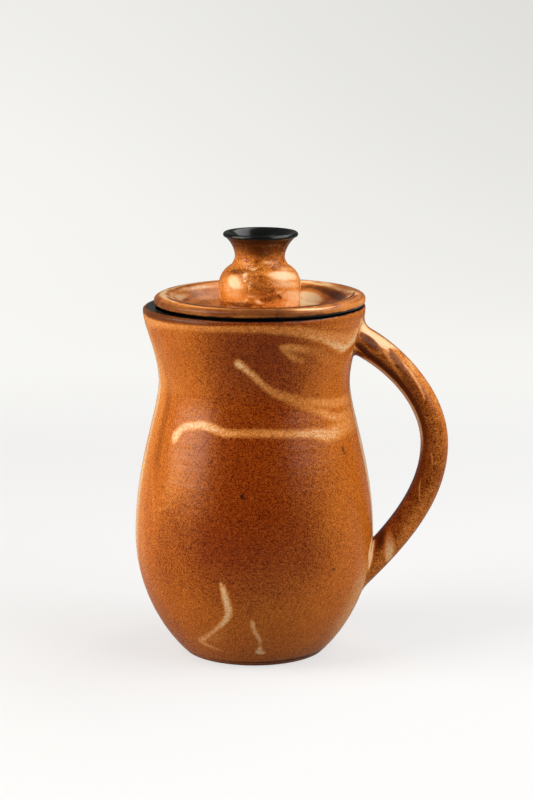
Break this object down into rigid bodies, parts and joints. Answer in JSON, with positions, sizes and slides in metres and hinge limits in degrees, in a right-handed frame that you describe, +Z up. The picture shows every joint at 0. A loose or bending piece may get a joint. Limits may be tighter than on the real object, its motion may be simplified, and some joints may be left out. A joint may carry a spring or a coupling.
{
  "type": "lidded pitcher",
  "caption": "Hand-thrown glazed pitcher with a pulled side handle, and a loose dish-shaped lid with a hollow flared knob, for keeping and serving drinks.",
  "frame": {"origin": "on the body's axis, in the plane that the foot stands on", "axes": "+Z up along the body's axis, +X towards the handle, so that the handle lies in the XZ plane"},
  "size_m": [0.1536, 0.1174, 0.2071],
  "materials": {
    "body_glaze": "satin iron-speckled orange-brown glaze, black inside and on the lip",
    "handle_glaze": "satin iron-speckled orange-brown glaze",
    "lid_glaze": "semi-gloss mottled orange-brown glaze",
    "knob_glaze": "semi-gloss mottled orange glaze with pale patches, black at the lip"
  },
  "bodies": {
    "pitcher_body": {"vessel": "body_glaze", "handle": "handle_glaze"},
    "lid_body": {"lid": "lid_glaze", "knob": "knob_glaze"}
  },
  "joints": [
    {"name": "lid_lift", "type": "slide", "parent": "pitcher_body", "child": "lid_body", "axis": [0, 0, 1], "range_m": [0, 0.12]}
  ]
}
